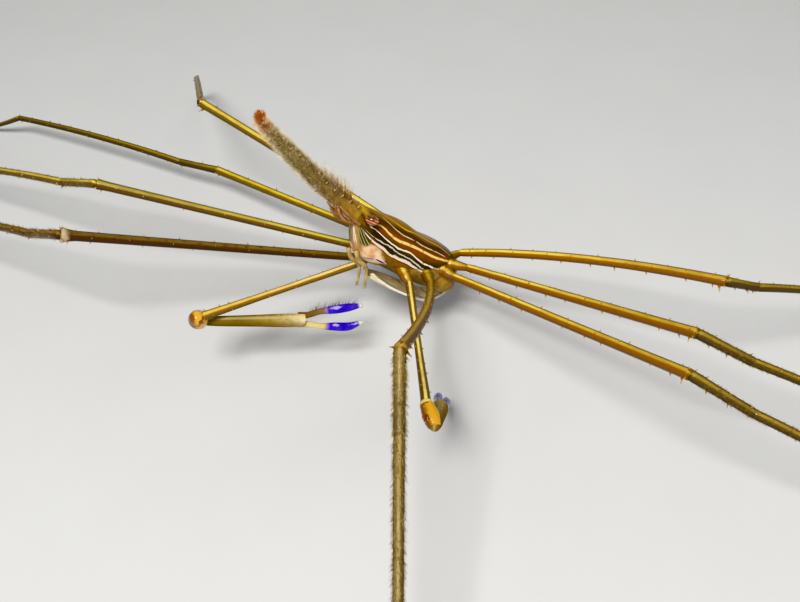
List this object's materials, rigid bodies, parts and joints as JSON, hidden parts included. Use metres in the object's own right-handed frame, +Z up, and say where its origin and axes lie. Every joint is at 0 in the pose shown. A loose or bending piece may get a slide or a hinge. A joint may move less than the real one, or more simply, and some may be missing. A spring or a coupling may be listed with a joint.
{
  "type": "yellowline arrow crab",
  "caption": "Life-size arrow crab standing on long thin spiny legs, with a striped cone-shaped body, a long beak and two slender claws.",
  "frame": {"origin": "centre of the model's bounding box seen from above, on the floor z = 0", "axes": "+Z up from the floor. The crab's beak points to -X and a little to -Y; its left side is towards -Y and +X, and the picture was taken looking along +Y"},
  "size_m": [0.1716, 0.1594, 0.0441],
  "materials": {
    "striped_shell": "smooth shell with fine light lines",
    "golden_shell": "smooth glossy shell",
    "brown_shell": "dull shell under short fuzz",
    "tan_shell": "half glossy shell",
    "violet_finger": "smooth glossy shell",
    "cream_flap": "soft shell",
    "eye": "clear glossy eye"
  },
  "bodies": {
    "root": {"abdomen": "cream_flap", "carapace": "striped_shell", "left_antenna": "striped_shell", "left_antennule": "striped_shell", "left_claw_base": "golden_shell", "left_claw_carpus": "golden_shell", "left_claw_finger": "violet_finger", "left_claw_merus": "golden_shell", "left_claw_palm": "tan_shell", "left_eye": "eye", "left_leg_1_base": "golden_shell", "left_leg_1_merus": "golden_shell", "left_leg_1_shin": "brown_shell", "left_leg_1_toe": "brown_shell", "left_leg_2_base": "golden_shell", "left_leg_2_merus": "golden_shell", "left_leg_2_shin": "brown_shell", "left_leg_2_toe": "brown_shell", "left_leg_3_base": "golden_shell", "left_leg_3_merus": "golden_shell", "left_leg_3_shin": "brown_shell", "left_leg_3_toe": "brown_shell", "left_leg_4_base": "golden_shell", "left_leg_4_merus": "golden_shell", "left_leg_4_shin": "brown_shell", "left_leg_4_toe": "brown_shell", "left_maxilliped": "cream_flap", "right_antenna": "striped_shell", "right_antennule": "striped_shell", "right_claw_base": "golden_shell", "right_claw_carpus": "golden_shell", "right_claw_finger": "violet_finger", "right_claw_merus": "golden_shell", "right_claw_palm": "tan_shell", "right_eye": "eye", "right_leg_1_base": "golden_shell", "right_leg_1_merus": "golden_shell", "right_leg_1_shin": "brown_shell", "right_leg_1_toe": "brown_shell", "right_leg_2_base": "golden_shell", "right_leg_2_merus": "golden_shell", "right_leg_2_shin": "brown_shell", "right_leg_2_toe": "brown_shell", "right_leg_3_base": "golden_shell", "right_leg_3_merus": "golden_shell", "right_leg_3_shin": "brown_shell", "right_leg_3_toe": "brown_shell", "right_leg_4_base": "golden_shell", "right_leg_4_merus": "golden_shell", "right_leg_4_shin": "brown_shell", "right_leg_4_toe": "brown_shell", "right_maxilliped": "cream_flap", "rostrum": "tan_shell", "thorax": "striped_shell"}
  },
  "joints": []
}
